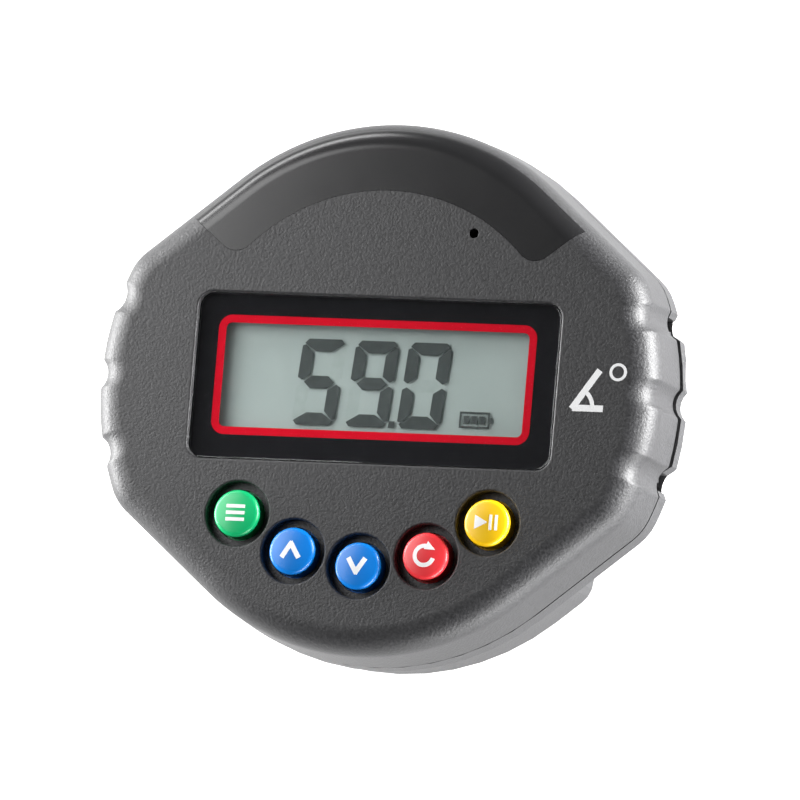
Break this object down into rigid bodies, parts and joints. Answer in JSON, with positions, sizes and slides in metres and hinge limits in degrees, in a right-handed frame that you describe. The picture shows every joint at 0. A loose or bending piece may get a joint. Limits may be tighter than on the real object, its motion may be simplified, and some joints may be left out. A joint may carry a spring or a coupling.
{
  "type": "digital torque tester",
  "caption": "Round-shouldered electronic angle gauge for a wrench, with a large display, round keys under it, an alarm lens at the top and a side drawer for its coin cell.",
  "frame": {"origin": "middle of the case outline, on the face of the back pad", "axes": "+Z out of the display, +Y towards the display's top, +X to the display's right"},
  "size_m": [0.0857, 0.0784, 0.0251],
  "materials": {
    "grained_abs": "fine grained, matt",
    "smoked_lens": "polished, smoke tinted",
    "window_acrylic": "polished, black printed border",
    "lcd_glass": "reflective display",
    "white_plastic": "moulded",
    "zebra_rubber": "matt",
    "green_cap": "polished dome",
    "blue_cap": "polished dome",
    "red_cap": "polished dome",
    "yellow_cap": "polished dome",
    "black_silicone": "matt",
    "board_green": "solder mask on glass fibre laminate",
    "chip_epoxy": "moulded",
    "plated_steel": "zinc plated",
    "led_package": "moulded",
    "pad_rubber": "matt, fine ribs",
    "nickel_plate": "nickel plated magnet",
    "cell_steel": "brushed",
    "spring_bronze": "rolled strip"
  },
  "bodies": {
    "case": {"front_cover": "grained_abs", "rear_cover": "grained_abs", "alarm_lens": "smoked_lens", "display_window": "window_acrylic", "lcd_panel": "lcd_glass", "lcd_frame": "white_plastic", "lcd_connector_upper": "zebra_rubber", "lcd_connector_lower": "zebra_rubber", "keypad_mat": "black_silicone", "main_board": "board_green", "controller_chip": "chip_epoxy", "gyro_sensor": "chip_epoxy", "clock_crystal": "plated_steel", "buzzer": "chip_epoxy", "alarm_led_left": "led_package", "alarm_led_middle": "led_package", "alarm_led_right": "led_package", "back_pad": "pad_rubber", "magnet_lower": "nickel_plate", "magnet_upper": "nickel_plate", "magnet_keeper": "plated_steel", "battery_contact_top": "spring_bronze", "battery_contact_side": "spring_bronze", "key_dome_menu": "black_silicone", "key_dome_up": "black_silicone", "key_dome_down": "black_silicone", "key_dome_clear": "black_silicone", "key_dome_start": "black_silicone", "case_screw_1": "plated_steel", "board_screw_1": "plated_steel", "case_screw_2": "plated_steel", "board_screw_2": "plated_steel", "case_screw_3": "plated_steel", "board_screw_3": "plated_steel", "case_screw_4": "plated_steel", "board_screw_4": "plated_steel", "keeper_screw_1": "plated_steel", "keeper_screw_2": "plated_steel"},
    "key_menu": {"button_menu": "green_cap"},
    "key_up": {"button_up": "blue_cap"},
    "key_down": {"button_down": "blue_cap"},
    "key_clear": {"button_clear": "red_cap"},
    "key_start": {"button_start": "yellow_cap"},
    "drawer": {"battery_drawer": "grained_abs", "coin_cell": "cell_steel"}
  },
  "joints": [
    {"name": "press_menu", "type": "slide", "parent": "case", "child": "key_menu", "axis": [0, 0, -1], "range_m": [0, 0.0008], "stiffness_N_per_m": 800, "springref_m": -0.0004, "deforming": ["key_dome_menu"]},
    {"name": "press_up", "type": "slide", "parent": "case", "child": "key_up", "axis": [0, 0, -1], "range_m": [0, 0.0008], "stiffness_N_per_m": 800, "springref_m": -0.0004, "deforming": ["key_dome_up"]},
    {"name": "press_down", "type": "slide", "parent": "case", "child": "key_down", "axis": [0, 0, -1], "range_m": [0, 0.0008], "stiffness_N_per_m": 800, "springref_m": -0.0004, "deforming": ["key_dome_down"]},
    {"name": "press_clear", "type": "slide", "parent": "case", "child": "key_clear", "axis": [0, 0, -1], "range_m": [0, 0.0008], "stiffness_N_per_m": 800, "springref_m": -0.0004, "deforming": ["key_dome_clear"]},
    {"name": "press_start", "type": "slide", "parent": "case", "child": "key_start", "axis": [0, 0, -1], "range_m": [0, 0.0008], "stiffness_N_per_m": 800, "springref_m": -0.0004, "deforming": ["key_dome_start"]},
    {"name": "drawer_slide", "type": "slide", "parent": "case", "child": "drawer", "axis": [1, 0, 0], "range_m": [0, 0.021]}
  ]
}
